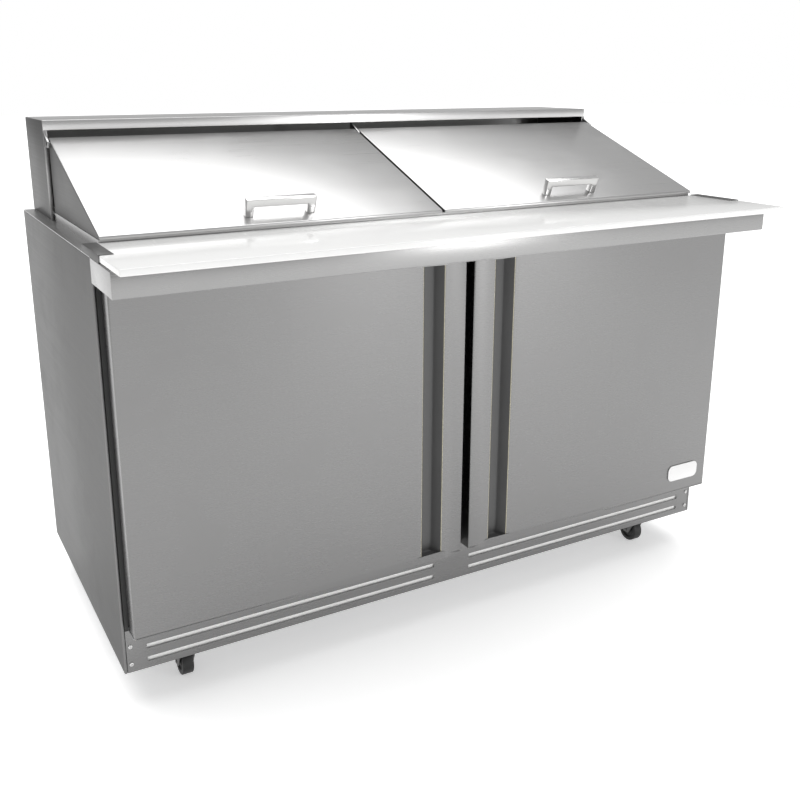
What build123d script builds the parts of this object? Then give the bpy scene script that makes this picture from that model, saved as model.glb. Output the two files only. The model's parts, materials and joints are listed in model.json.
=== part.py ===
from build123d import *
from math import atan2, cos, sin, tan
import os

os.makedirs("parts", exist_ok=True)

# A two-door refrigerated sandwich prep table. All sizes are in millimetres.
# +Z is up, the doors face -Y, and the origin is on the floor under the middle
# of the table's outline, so the front edge of the cutting board is as far
# ahead of the origin as the back of the cabinet is behind it.

# ---------------------------------------------------------------- driving sizes
cabinet_width = 1530
cabinet_depth = 700
cabinet_height = 838
caster_height = 80
board_reach = 205
hood_height = 213
hood_top_depth = 213
hood_inset = 24
lid_inset = 31
skin = 1.2
liner_sheet = 1.0
wall = 49
pin_radius = 4.0
running_gap = 0.05
rest_gap = 0.3

half_width = cabinet_width / 2
y_face = (board_reach - cabinet_depth) / 2
y_rear = y_face + cabinet_depth
z_base = caster_height
z_deck = z_base + cabinet_height

# inside of the cabinet
half_inside = half_width - wall - liner_sheet
z_floor = z_base + 140
y_back_wall = y_rear - 50
machine_depth = 240
machine_height = 330
step_wall = 45
y_machine = y_rear - machine_depth
y_riser = y_machine - step_wall
z_machine = z_base + machine_height
z_tread = z_machine + step_wall

# base
fascia_height = 95
frame_thickness = 12
frame_top_height = 745
mullion_half = 35
mullion_depth = 50

# doors
door_gap_half = 10
door_outer = half_width - 13
z_door_low = z_base + 101
z_door_top = z_base + 780
y_door_front = y_face - 54
y_door_back = y_face - 12
pivot_x = half_width - 25
pivot_y = y_face - 33
pivot_depth = 15
channel_near = 63
channel_far = 115
channel_depth = 28
channel_margin = 4
gasket_width = 14

# pans: three rows of four third-size pans
pan_columns = 4
pan_rows = 3
pan_rim_length = 325
pan_rim_width = 176
pan_cell_length = 317
pan_cell_width = 168
pan_bar = 14
pan_depth = 150
pan_sheet = 1.0
well_half = (pan_columns * pan_cell_length + (pan_columns - 1) * pan_bar) / 2
y_well_front = y_face + 80
y_well_rear = y_well_front + pan_rows * pan_cell_width + (pan_rows - 1) * pan_bar

# lids: points of the side outline as (distance behind the cabinet face, height above the base)
lid_front = 56
lid_front_top = 863
lid_front_low = 854
lid_low = 856
lid_rear = 469
lid_peak = 1016
lid_sheet = 1.0
lid_gap_half = 3
lid_half = half_width - lid_inset
hinge_y = y_face + 459
hinge_z = z_base + 1003
lid_slope = atan2(lid_peak - lid_front_top, lid_rear - lid_front)

# handle on each lid
handle_width = 150
handle_height = 38
handle_bar = 17
handle_thickness = 15
handle_back = 36

# cutting board and the shelf that carries it
board_thickness = 13
board_half = half_width - 2
board_rear = y_face + 61
board_front = y_face - board_reach
shelf_depth = 150
shelf_height = 48
clip_length = 130
clip_flange = 27

# casters
caster_x = half_width - 139
caster_front = y_face + 50
caster_rear = y_rear - 80
caster_trail = 18
wheel_radius = 30
wheel_width = 24
axle_radius = 4.0


# --------------------------------------------------------------------- helpers
def save(piece, name):
    """Label a finished piece and write it."""
    piece.part.label = name
    export_step(piece.part, f"parts/{name}.step")


def block(x0, x1, y0, y1, z0, z1, mode=Mode.ADD):
    """A box between two corners, in the current part."""
    with Locations(((x0 + x1) / 2, (y0 + y1) / 2, (z0 + z1) / 2)):
        Box(abs(x1 - x0), abs(y1 - y0), abs(z1 - z0), mode=mode)


def upright(x, y, z0, z1, radius, mode=Mode.ADD):
    """A vertical cylinder, in the current part."""
    with Locations((x, y, (z0 + z1) / 2)):
        Cylinder(radius, z1 - z0, mode=mode)


def crosswise(x0, x1, y, z, radius, mode=Mode.ADD):
    """A cylinder along X, in the current part."""
    with Locations(((x0 + x1) / 2, y, z)):
        Cylinder(radius, abs(x1 - x0), rotation=(0, 90, 0), mode=mode)


def lengthwise(x, y0, y1, z, radius, mode=Mode.ADD):
    """A cylinder along Y, in the current part."""
    with Locations((x, (y0 + y1) / 2, z)):
        Cylinder(radius, abs(y1 - y0), rotation=(90, 0, 0), mode=mode)


def at(y, z):
    """A side-view point given from the cabinet's front face and underside."""
    return (y_face + y, z_base + z)


# ------------------------------------------------------------------ outer skins
side_return = 6
with BuildPart() as side_panels:
    for side in (-1, 1):
        outer = side * half_width
        block(outer, outer - side * skin, y_face, y_rear, z_base, z_deck - skin)
        # narrow return along the front edge
        block(outer, outer - side * side_return, y_face, y_face + skin, z_base, z_deck - skin)
save(side_panels, "side_panels")

inner_skin = half_width - skin

with BuildPart() as back_panel:
    block(-inner_skin, inner_skin, y_rear - skin, y_rear, z_machine, z_deck - skin)
save(back_panel, "back_panel")

# front grille: a folded fascia with two long slots in each half
slot_near = 48
slot_far = 718
slot_height = 10
slot_levels = (20.5, 49.5)
screw_levels = (19, 58)
screw_x = half_width - 14.5
screw_head = 4.5
screw_shank = 2.5
screw_length = 12
screw_hole = screw_shank + 0.1
fascia_half = half_width - side_return - rest_gap
fascia_top = z_base + fascia_height
with BuildPart() as base_fascia:
    block(-fascia_half, fascia_half, y_face, y_face + skin, z_base, fascia_top)
    block(-fascia_half, fascia_half, y_face, y_face + 16, z_base, z_base + skin)
    block(-fascia_half, fascia_half, y_face, y_face + 12, fascia_top - skin, fascia_top)
    for side in (-1, 1):
        for level in slot_levels:
            block(side * slot_near, side * slot_far, y_face - 1, y_face + 3,
                  z_base + level - slot_height / 2, z_base + level + slot_height / 2, mode=Mode.SUBTRACT)
        for level in screw_levels:
            lengthwise(side * screw_x, y_face - 1, y_face + 3, z_base + level, screw_hole, mode=Mode.SUBTRACT)
save(base_fascia, "base_fascia")

# floor of the cabinet, with folded rails over the casters and a lug behind each end of the fascia
corners = {"front_left": (-caster_x, caster_front), "front_right": (caster_x, caster_front),
           "rear_left": (-caster_x, caster_rear), "rear_right": (caster_x, caster_rear)}
bolt_x = 27
bolt_y = 20
bolt_pattern = [(dx, dy) for dx in (-bolt_x, bolt_x) for dy in (-bolt_y, bolt_y)]
bolt_spots = [(x + dx, y + dy) for x, y in corners.values() for dx, dy in bolt_pattern]
base_sheet = 1.5
plate_sheet = 3
with BuildPart() as base_pan:
    block(-inner_skin, inner_skin, y_face + 18, y_rear - skin, z_base, z_base + base_sheet)
    for rail_y in (caster_front, caster_rear):
        for rail_side in (-1, 1):
            for side in (-1, 1):
                block(side * 540, side * (inner_skin - 30), rail_y + rail_side * 27, rail_y + rail_side * 30,
                      z_base + base_sheet, z_base + 26)
    for side in (-1, 1):
        block(side * 743, side * 757, y_face + skin, y_face + 21, z_base + base_sheet, z_base + 66)
        for level in screw_levels:
            lengthwise(side * screw_x, y_face, y_face + 14, z_base + level, screw_hole, mode=Mode.SUBTRACT)
    for x, y in bolt_spots:
        upright(x, y, z_base - 1, z_base + 3, screw_hole, mode=Mode.SUBTRACT)
save(base_pan, "base_pan")

# one size of pan-head screw holds the fascia and the caster plates
with BuildPart() as fixing_screws:
    for side in (-1, 1):
        for level in screw_levels:
            lengthwise(side * screw_x, y_face - 2, y_face, z_base + level, screw_head)
            lengthwise(side * screw_x, y_face, y_face + screw_length, z_base + level, screw_shank)
    for x, y in bolt_spots:
        upright(x, y, z_base - plate_sheet - 2, z_base - plate_sheet, screw_head)
        upright(x, y, z_base - plate_sheet, z_base - plate_sheet + screw_length, screw_shank)
save(fixing_screws, "fixing_screws")

filter_pitch = 78
with BuildPart() as air_filter:
    filter_y = y_face + 4
    block(-740, 740, filter_y, filter_y + 8, z_base + 4, z_base + 66)
    for bay in range(-9, 10):
        bay_x = bay * filter_pitch
        block(bay_x - 36, bay_x + 36, filter_y + 5, filter_y + 9, z_base + 8, z_base + 62, mode=Mode.SUBTRACT)
save(air_filter, "air_filter")

# ------------------------------------------------------------ insulated cabinet
foam_top = z_deck - skin
liner_out = half_inside + liner_sheet
pipe_x = 262
pipe_y = y_back_wall - 16
pipe_radius = 3.2
pipe_hole = 3.6
with BuildPart() as insulation:
    for side in (-1, 1):
        block(side * liner_out, side * inner_skin, y_face + frame_thickness, y_rear - skin,
              z_base + fascia_height + 0.5, foam_top)
    # floor, then the step over the machine compartment, then the back wall
    block(-liner_out, liner_out, y_face + mullion_depth, y_riser + liner_sheet,
          z_base + fascia_height + 0.5, z_floor - liner_sheet)
    block(-liner_out, liner_out, y_riser + liner_sheet, y_machine, z_base + 30, z_tread - liner_sheet)
    block(-liner_out, liner_out, y_machine, y_rear - skin, z_machine, z_tread - liner_sheet)
    block(-liner_out, liner_out, y_back_wall + liner_sheet, y_rear - skin, z_tread - liner_sheet, foam_top)
    # rail above the door openings
    block(-liner_out, liner_out, y_face + frame_thickness, y_face + mullion_depth,
          z_base + frame_top_height, foam_top)
    for side in (-1, 1):
        upright(side * pipe_x, pipe_y, z_machine - 1, z_tread, pipe_hole, mode=Mode.SUBTRACT)
save(insulation, "insulation")

with BuildPart() as interior_liner:
    liner_top = z_deck - skin
    block(-half_inside, half_inside, y_face + mullion_depth, y_riser, z_floor - liner_sheet, z_floor)
    block(-half_inside, half_inside, y_riser, y_riser + liner_sheet, z_floor - liner_sheet, z_tread)
    block(-half_inside, half_inside, y_riser, y_back_wall, z_tread - liner_sheet, z_tread)
    block(-half_inside, half_inside, y_back_wall, y_back_wall + liner_sheet, z_tread - liner_sheet, liner_top)
    for side in (-1, 1):
        block(side * half_inside, side * liner_out, y_face + mullion_depth, y_riser + liner_sheet,
              z_floor - liner_sheet, liner_top)
        block(side * half_inside, side * liner_out, y_riser, y_back_wall + liner_sheet,
              z_tread - liner_sheet, liner_top)
        upright(side * pipe_x, pipe_y, z_tread - 2, z_tread + 1, pipe_hole, mode=Mode.SUBTRACT)
save(interior_liner, "interior_liner")

# breaker frame round the two door openings, and the post between them
frame_half = half_width - side_return - rest_gap
frame_low = z_base + fascia_height + 0.5
frame_high = z_base + frame_top_height
with BuildPart() as front_frame:
    block(-frame_half, frame_half, y_face, y_face + frame_thickness, frame_low, z_deck - skin)
    block(-half_inside, half_inside, y_face - 1, y_face + frame_thickness + 1,
          z_floor, frame_high, mode=Mode.SUBTRACT)
    # sill and jambs reach back to the liner
    block(-liner_out, liner_out, y_face + frame_thickness, y_face + mullion_depth, frame_low, z_floor)
    for side in (-1, 1):
        block(side * half_inside, side * liner_out, y_face + frame_thickness, y_face + mullion_depth,
              z_floor, frame_high)
save(front_frame, "front_frame")

with BuildPart() as centre_mullion:
    block(-mullion_half, mullion_half, y_face, y_face + mullion_depth, z_floor, frame_high)
    # shallow relief up each side, where the shelf strips are screwed
    for side in (-1, 1):
        block(side * mullion_half, side * (mullion_half - 2), y_face + 26, y_face + 44,
              z_floor + 10, frame_high - 10, mode=Mode.SUBTRACT)
save(centre_mullion, "centre_mullion")

# ------------------------------------------------------------- deck and pan well
curb_height = 18
curb_top = z_deck + curb_height - rest_gap
curb_front = y_face + 63
curb_rear = y_face + lid_rear - 1
curb_width = 12
with BuildPart() as deck_top:
    block(-half_width, half_width, y_face, y_rear, z_deck - skin, z_deck)
    block(-well_half, well_half, y_well_front, y_well_rear, z_deck - 5, z_deck + 5, mode=Mode.SUBTRACT)
    # welded curb that the closed lids stand over
    block(-lid_half, lid_half, curb_front, curb_front + curb_width, z_deck, curb_top)
    for side in (-1, 1):
        block(side * lid_half, side * (lid_half - curb_width), curb_front, curb_rear, z_deck, curb_top)
        # short tie from the curb to the hood
        block(side * lid_half, side * (lid_half - 3), curb_rear - 2, y_face + 487, curb_top - 6, curb_top)
save(deck_top, "deck_top")

with BuildPart() as pan_well:
    well_low = z_deck - 92
    block(-well_half - skin, well_half + skin, y_well_front - skin, y_well_rear + skin,
          well_low, z_deck - skin)
    block(-well_half, well_half, y_well_front, y_well_rear, well_low - 1, z_deck, mode=Mode.SUBTRACT)
    # foot flange turned outwards
    block(-well_half - 12, well_half + 12, y_well_front - 12, y_well_rear + 12, well_low - skin, well_low)
    block(-well_half, well_half, y_well_front, y_well_rear, well_low - 3, well_low + 1, mode=Mode.SUBTRACT)
save(pan_well, "pan_well")

pan_pitch_x = pan_cell_length + pan_bar
pan_pitch_y = pan_cell_width + pan_bar
with BuildPart() as pan_rest_bars:
    for gap in range(1, pan_rows):
        bar_y = y_well_front + gap * pan_pitch_y - pan_bar
        block(-well_half, well_half, bar_y, bar_y + pan_bar, z_deck - 22, z_deck)
    for gap in range(1, pan_columns):
        bar_x = -well_half + gap * pan_pitch_x - pan_bar
        block(bar_x, bar_x + pan_bar, y_well_front, y_well_rear, z_deck - 22, z_deck)
save(pan_rest_bars, "pan_rest_bars")

pan_body_length = pan_cell_length - 8
pan_body_width = pan_cell_width - 8
pan_corner = 25
pan_taper = 2
pan_hollow = (pan_body_length - 2 * pan_sheet, pan_body_width - 2 * pan_sheet, pan_corner - pan_sheet)
with BuildPart() as food_pan:
    with BuildSketch(Plane(origin=(0, 0, z_deck), z_dir=(0, 0, -1))):
        RectangleRounded(pan_body_length, pan_body_width, pan_corner)
    extrude(amount=pan_depth, taper=pan_taper)
    with BuildSketch(Plane.XY.offset(z_deck)):
        RectangleRounded(pan_rim_length, pan_rim_width, pan_corner + 5)
    extrude(amount=1.5)
    with BuildSketch(Plane(origin=(0, 0, z_deck), z_dir=(0, 0, -1))):
        RectangleRounded(*pan_hollow)
    extrude(amount=pan_depth - pan_sheet, taper=pan_taper, mode=Mode.SUBTRACT)
    with BuildSketch(Plane.XY.offset(z_deck)):
        RectangleRounded(*pan_hollow)
    extrude(amount=2, mode=Mode.SUBTRACT)

pan_cells = [(row, column) for row in range(pan_rows) for column in range(pan_columns)]
corner_cells = [(0, 0), (0, pan_columns - 1)]


def pan_place(row, column):
    """Where the pan in one cell of the well stands."""
    return (-well_half + pan_cell_length / 2 + column * pan_pitch_x,
            y_well_front + pan_cell_width / 2 + row * pan_pitch_y, 0)


with BuildPart() as food_pans:
    with Locations(*[pan_place(*cell) for cell in pan_cells if cell not in corner_cells]):
        add(food_pan.part)
save(food_pans, "food_pans")

# the two front corner pans, beside the ends of the curb
with BuildPart() as corner_pans:
    with Locations(*[pan_place(*cell) for cell in corner_cells]):
        add(food_pan.part)
save(corner_pans, "corner_pans")

# --------------------------------------------------------------------- rear hood
hood_half = half_width - hood_inset
hood_front = y_rear - hood_top_depth
z_hood = z_deck + hood_height
fascia_drop = 22
z_lip = z_hood - fascia_drop
ear_half = 2
with BuildPart() as rear_hood:
    block(-hood_half, hood_half, hood_front, y_rear, z_hood - skin, z_hood)
    block(-hood_half, hood_half, y_rear - skin, y_rear, z_deck, z_hood)
    block(-hood_half, hood_half, hood_front, hood_front + skin, z_lip, z_hood)
    block(-hood_half, hood_half, hood_front, hood_front + 14, z_lip, z_lip + skin)
    for side in (-1, 1):
        block(side * hood_half, side * (hood_half - skin), hood_front, y_rear, z_deck, z_hood)
        # narrow return down the front of each side
        block(side * hood_half, side * (hood_half - 9), hood_front, hood_front + skin, z_deck, z_hood)
    # welded ears and the rod that the lids turn on
    for ear_x in (ear_half + skin - hood_half, 0, hood_half - skin - ear_half):
        with BuildSketch(Plane.YZ.offset(ear_x - ear_half)):
            Polygon((hood_front + 12, z_lip + skin), (hood_front + 12, hinge_z - 8),
                    (hinge_y - 4, hinge_z - 8), (hinge_y - 7, hinge_z), (hinge_y - 4, hinge_z + 7),
                    (hood_front, z_lip), align=None)
        extrude(amount=2 * ear_half)
    crosswise(skin - hood_half, hood_half - skin, hinge_y, hinge_z, pin_radius)
save(rear_hood, "rear_hood")

# --------------------------------------------------------------------------- lids


def under_slope(y, depth):
    """Side-view point at a distance behind the cabinet face, some way under the lid's sloping top."""
    return at(y, lid_front_top + (y - lid_front) * tan(lid_slope) - depth / cos(lid_slope))


lid_outline = (at(lid_front, lid_front_low), at(lid_front, lid_front_top), at(lid_rear, lid_peak),
               at(lid_rear, lid_low), at(lid_front + 6, lid_low))
lid_hollow = (at(lid_front + lid_sheet, lid_front_low - 6), under_slope(lid_front + lid_sheet, lid_sheet),
              under_slope(lid_rear - lid_sheet, lid_sheet), at(lid_rear - lid_sheet, lid_front_low - 6))
panel_depth = 20
panel_outline = (under_slope(lid_front + 8, lid_sheet), under_slope(lid_front + 388, lid_sheet),
                 under_slope(lid_front + 380, panel_depth), under_slope(lid_front + 60, panel_depth))
slope_up = Vector(0, cos(lid_slope), sin(lid_slope))
slope_out = Vector(0, -sin(lid_slope), cos(lid_slope))
handle_spot = Vector(0, *at(lid_front, lid_front_top)) + slope_up * handle_back
barrel_length = 30

for side, word in ((-1, "left"), (1, "right")):
    x_near = side * lid_gap_half
    x_far = side * lid_half
    x_start = min(x_near, x_far)
    lid_width = abs(x_far - x_near)
    with BuildPart() as lid_shell:
        with BuildSketch(Plane.YZ.offset(x_start)):
            Polygon(*lid_outline, align=None)
        extrude(amount=lid_width)
        with BuildSketch(Plane.YZ.offset(x_start + lid_sheet)):
            Polygon(*lid_hollow, align=None)
        extrude(amount=lid_width - 2 * lid_sheet, mode=Mode.SUBTRACT)
        # hinge barrels welded inside each end
        for start, end in ((x_near, x_near + side * barrel_length), (x_far, x_far - side * barrel_length)):
            crosswise(start, end, hinge_y, hinge_z, pin_radius + 3)
        crosswise(x_near - side, x_far + side, hinge_y, hinge_z, pin_radius + running_gap, mode=Mode.SUBTRACT)
    save(lid_shell, f"lid_{word}_shell")

    # insulated panel under the slope
    with BuildPart() as lid_panel:
        with BuildSketch(Plane.YZ.offset(x_start + 4)):
            Polygon(*panel_outline, align=None)
        extrude(amount=lid_width - 8)
    save(lid_panel, f"lid_{word}_panel")

    # bail handle standing square to the slope
    middle = Vector((x_near + x_far) / 2, 0, 0)
    bail_plane = Plane(origin=handle_spot + middle, x_dir=(1, 0, 0), z_dir=-slope_up)
    with BuildPart() as lid_handle:
        with BuildSketch(bail_plane):
            with Locations((0, handle_height / 2)):
                Rectangle(handle_width, handle_height)
            with Locations((0, (handle_height - handle_bar) / 2)):
                Rectangle(handle_width - 2 * handle_bar, handle_height - handle_bar, mode=Mode.SUBTRACT)
        extrude(amount=handle_thickness / 2, both=True)
        cross_edges = lid_handle.edges().filter_by(lambda edge: edge.length < handle_thickness + 0.1)
        outermost = cross_edges.sort_by(lambda edge: -(edge.center() - handle_spot).dot(slope_out))
        fillet(outermost[:2], radius=2.5)
    save(lid_handle, f"lid_{word}_handle")

# -------------------------------------------------------- cutting board and shelf
z_shelf = z_deck - shelf_height
shelf_front = y_face - shelf_depth
with BuildPart() as board_shelf:
    block(-half_width, half_width, shelf_front, y_face, z_deck - skin, z_deck)
    block(-half_width, half_width, shelf_front, shelf_front + skin, z_shelf, z_deck)
    block(-half_width, half_width, shelf_front, shelf_front + 18, z_shelf, z_shelf + skin)
    block(-half_width, half_width, y_face - skin, y_face, z_shelf, z_deck)
    for side in (-1, 1):
        block(side * half_width, side * (half_width - skin), shelf_front, y_face, z_shelf, z_deck)
save(board_shelf, "board_shelf")

with BuildPart() as cutting_board:
    block(-board_half, board_half, board_front, board_rear, z_deck, z_deck + board_thickness)
    fillet(cutting_board.edges().filter_by(Axis.X), radius=1.5)
save(cutting_board, "cutting_board")

with BuildPart() as board_clips:
    for side in (-1, 1):
        outer = side * half_width
        clip_front = board_rear - clip_length
        clip_top = z_deck + board_thickness + rest_gap
        block(outer, outer - side * 1.7, clip_front, board_rear, z_deck, clip_top + skin)
        block(outer, outer - side * clip_flange, clip_front, board_rear, clip_top, clip_top + skin)
save(board_clips, "board_clips")

# -------------------------------------------------------------------------- doors
door_skin_sheet = 1.0
z_channel_low = z_door_low + channel_margin
z_channel_top = z_door_top - channel_margin
channel_slope = 12


def channel_section(side, grow):
    """Corner points of the handle channel's section, seen from above, grown outwards."""
    y_floor = y_door_front + channel_depth + grow
    near = channel_near - grow
    far = channel_far + grow
    return ((side * near, y_door_front), (side * (near + channel_slope), y_floor),
            (side * (far - channel_slope), y_floor), (side * far, y_door_front))


for side, word in ((-1, "left"), (1, "right")):
    near = side * door_gap_half
    far = side * door_outer
    pivot = side * pivot_x
    with BuildPart() as door_skin:
        block(near, far, y_door_front, y_door_back, z_door_low, z_door_top)
        block(near + side * door_skin_sheet, far - side * door_skin_sheet, y_door_front + door_skin_sheet,
              y_door_back + 1, z_door_low + door_skin_sheet, z_door_top - door_skin_sheet, mode=Mode.SUBTRACT)
        block(side * channel_near, side * channel_far, y_door_front - 1, y_door_front + 2,
              z_channel_low, z_channel_top, mode=Mode.SUBTRACT)
        upright(pivot, pivot_y, z_door_low - 1, z_door_top + 1, pin_radius + running_gap, mode=Mode.SUBTRACT)
    save(door_skin, f"door_{word}_skin")

    with BuildPart() as door_channel:
        with BuildSketch(Plane.XY.offset(z_channel_low)):
            Polygon(*channel_section(side, 0), align=None)
        extrude(amount=z_channel_top - z_channel_low)
        hollow_low = z_channel_low + skin
        with BuildSketch(Plane.XY.offset(hollow_low)):
            Polygon(*channel_section(side, -skin), align=None)
        extrude(amount=z_channel_top - skin - hollow_low, mode=Mode.SUBTRACT)
        # clear the mouth of the trough
        block(side * (channel_near + skin), side * (channel_far - skin), y_door_front - 1, y_door_front + 0.5,
              hollow_low, z_channel_top - skin, mode=Mode.SUBTRACT)
    save(door_channel, f"door_{word}_channel")

    with BuildPart() as door_foam:
        block(near + side * door_skin_sheet, far - side * door_skin_sheet, y_door_front + door_skin_sheet,
              y_door_back - 1, z_door_low + door_skin_sheet, z_door_top - door_skin_sheet)
        with BuildSketch(Plane.XY.offset(z_channel_low)):
            Polygon(*channel_section(side, 0), align=None)
        extrude(amount=z_channel_top - z_channel_low, mode=Mode.SUBTRACT)
        # sockets for the pivot pins
        socket = pivot_depth + 2
        for low in (z_door_low, z_door_top - socket):
            upright(pivot, pivot_y, low, low + socket, pin_radius + running_gap, mode=Mode.SUBTRACT)
    save(door_foam, f"door_{word}_foam")

    # inner pan with a raised panel inside the gasket
    with BuildPart() as door_liner:
        block(near + side * door_skin_sheet, far - side * door_skin_sheet, y_door_back - 1, y_door_back,
              z_door_low + door_skin_sheet, z_door_top - door_skin_sheet)
        block(side * 48, side * 700, y_door_back, y_door_back + 6, z_door_low + 52, z_door_top - 52)
    save(door_liner, f"door_{word}_liner")

    with BuildPart() as door_gasket:
        gasket_near = side * 20
        gasket_far = side * (pivot_x - 2)
        gasket_low = z_door_low + 9
        gasket_high = z_door_top - 22
        block(gasket_near, gasket_far, y_door_back, y_face - rest_gap, gasket_low, gasket_high)
        block(gasket_near + side * gasket_width, gasket_far - side * gasket_width, y_door_back - 1, y_face,
              gasket_low + gasket_width, gasket_high - gasket_width, mode=Mode.SUBTRACT)
    save(door_gasket, f"door_{word}_gasket")

# plain blank plate near the hinge side of the right door
plate_middle = (half_width - 93, y_door_front, z_base + 155)
with BuildPart() as badge:
    with BuildSketch(Plane(origin=plate_middle, x_dir=(1, 0, 0), z_dir=(0, -1, 0))):
        RectangleRounded(100, 42, 14)
    extrude(amount=2)
save(badge, "badge")

# hinge plates and pins on the cabinet, two to a door
plate_thickness = 3
with BuildPart() as door_hinge_plates:
    for side in (-1, 1):
        pivot = side * pivot_x
        low = z_door_low - rest_gap - plate_thickness - 0.5
        high = z_door_top + 1.5
        for level, pin_low, pin_high in ((low, low, z_door_low + pivot_depth),
                                         (high, z_door_top - pivot_depth, high + plate_thickness)):
            block(pivot - 12, pivot + 12, y_face - 42, y_face, level, level + plate_thickness)
            block(pivot - 12, pivot + 12, y_face - plate_thickness, y_face, level, level + 5)
            upright(pivot, pivot_y, pin_low, pin_high, pin_radius)
save(door_hinge_plates, "door_hinge_plates")

# ---------------------------------------------------------------- shelves inside
z_shelf_wire = z_base + 400
wire = 2.5
shelf_near = 48
shelf_far = half_inside - 8
shelf_y0 = y_face + 83
shelf_y1 = y_back_wall - 25
with BuildPart() as wire_shelves:
    for side in (-1, 1):
        for wire_y in (shelf_y0, (shelf_y0 + shelf_y1) / 2, shelf_y1):
            crosswise(side * shelf_near, side * shelf_far, wire_y, z_shelf_wire, wire)
        run = (shelf_far - shelf_near) / 18
        for count in range(19):
            lengthwise(side * (shelf_near + count * run), shelf_y0, shelf_y1, z_shelf_wire + 3, wire)
save(wire_shelves, "wire_shelves")

with BuildPart() as shelf_pilasters:
    strip_low = z_tread + 4
    strip_high = z_base + 600
    ledge = z_shelf_wire - wire
    for side in (-1, 1):
        edge = side * half_inside
        for strip_y in (y_face + 74, y_back_wall - 34):
            block(edge, edge - side * 2, strip_y, strip_y + 18, strip_low, strip_high)
            block(edge, edge - side * 20, strip_y + 2, strip_y + 16, ledge - 3, ledge)
        # strips near the middle: one on the post, one on the back wall
        block(side * 40, side * 60, y_back_wall - 2, y_back_wall, strip_low, z_base + 460)
        block(side * 42, side * 58, y_back_wall - 26, y_back_wall, ledge - 3, ledge)
        block(side * mullion_half, side * (mullion_half - 2), y_face + 27, y_face + 43, strip_low, strip_high)
        block(side * mullion_half, side * (mullion_half + 2), y_face + 27, y_face + 50, ledge - 20, ledge - 3)
        block(side * mullion_half, side * (mullion_half + 22), y_face + 46, y_face + 90, ledge - 3, ledge)
        block(side * mullion_half, side * (mullion_half + 2), y_face + 27, y_face + 50, ledge - 3, ledge)
save(shelf_pilasters, "shelf_pilasters")

# ------------------------------------------------------------------ refrigeration
evap_half = 250
evap_low = z_base + 470
evap_high = z_base + 640
evap_front = y_back_wall - 110
fan_radius = 62
evap_fan_x = -110
evap_fan_z = (evap_low + evap_high) / 2
with BuildPart() as evaporator_housing:
    block(-evap_half, evap_half, evap_front, y_back_wall, evap_low, evap_high)
    block(-evap_half + skin, evap_half - skin, evap_front + skin, y_back_wall + 1, evap_low + skin,
          evap_high + 1, mode=Mode.SUBTRACT)
    lengthwise(evap_fan_x, evap_front - 1, evap_front + 3, evap_fan_z, fan_radius + 4, mode=Mode.SUBTRACT)
    # bridge that carries the fan motor, behind the blades
    block(evap_fan_x - 80, evap_fan_x + 80, evap_front + 34, evap_front + 37,
          evap_fan_z - 12, evap_fan_z + 12)
    for end in (-80, 77):
        block(evap_fan_x + end, evap_fan_x + end + 3, evap_front + skin, evap_front + 37,
              evap_fan_z - 12, evap_fan_z + 12)
    lengthwise(evap_fan_x, evap_front + 37, evap_front + 62, evap_fan_z, 24)
    lengthwise(evap_fan_x, evap_front + 30, evap_front + 50, evap_fan_z, 3 + running_gap, mode=Mode.SUBTRACT)
    # bore for the control dial's stem
    lengthwise(170, evap_front - 1, evap_front + 3, evap_fan_z, 3 + running_gap, mode=Mode.SUBTRACT)
    # pipe holes in the ends
    crosswise(-evap_half - 1, -evap_half + 3, pipe_y, evap_high - 40, pipe_hole, mode=Mode.SUBTRACT)
    crosswise(evap_half + 1, evap_half - 3, pipe_y, evap_low + 45, pipe_hole, mode=Mode.SUBTRACT)
    # return-air slots along the right half
    for slot in range(5):
        block(0, 120, evap_front - 1, evap_front + 3, evap_low + 30 + slot * 24, evap_low + 40 + slot * 24,
              mode=Mode.SUBTRACT)
save(evaporator_housing, "evaporator_housing")


def fan_wheel(radius, blade_width, hub, depth, stem):
    """A four-blade fan wheel about Z, with its stem standing up."""
    with BuildPart() as wheel:
        Cylinder(hub, depth)
        with BuildSketch(Plane.XY.offset(-1)):
            for turn in range(4):
                with Locations(Rotation(0, 0, 90 * turn) * Pos((radius + hub) / 2 - 1, 0, 0)):
                    Rectangle(radius - hub, blade_width)
        extrude(amount=2)
        with Locations((0, 0, depth / 2 + stem / 2)):
            Cylinder(3, stem)
    return wheel.part


with BuildPart() as evaporator_fan:
    with Locations((evap_fan_x, evap_front + 18, evap_fan_z)):
        add(fan_wheel(fan_radius, 38, 18, 12, 22), rotation=(-90, 0, 0))
save(evaporator_fan, "evaporator_fan")

with BuildPart() as evaporator_coil:
    fin_y0 = evap_front + 68
    fin_y1 = y_back_wall - 8
    for fin in range(30):
        fin_x = -evap_half + 30 + fin * 15
        block(fin_x, fin_x + 1, fin_y0, fin_y1, evap_low + 20, evap_high - 12)
    for tube_z in (evap_low + 45, evap_fan_z, evap_high - 40):
        for tube_y in (fin_y0 + 8, fin_y1 - 8):
            crosswise(-evap_half + 14, evap_half - 14, tube_y, tube_z, 4.5)
save(evaporator_coil, "evaporator_coil")

with BuildPart() as thermostat_dial:
    lengthwise(170, evap_front - 14, evap_front - 1, evap_fan_z, 18)
    block(168.5, 171.5, evap_front - 16, evap_front - 13, evap_fan_z + 2, evap_fan_z + 17)
    lengthwise(170, evap_front - 2, evap_front + 10, evap_fan_z, 3)
save(thermostat_dial, "thermostat_dial")

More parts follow.
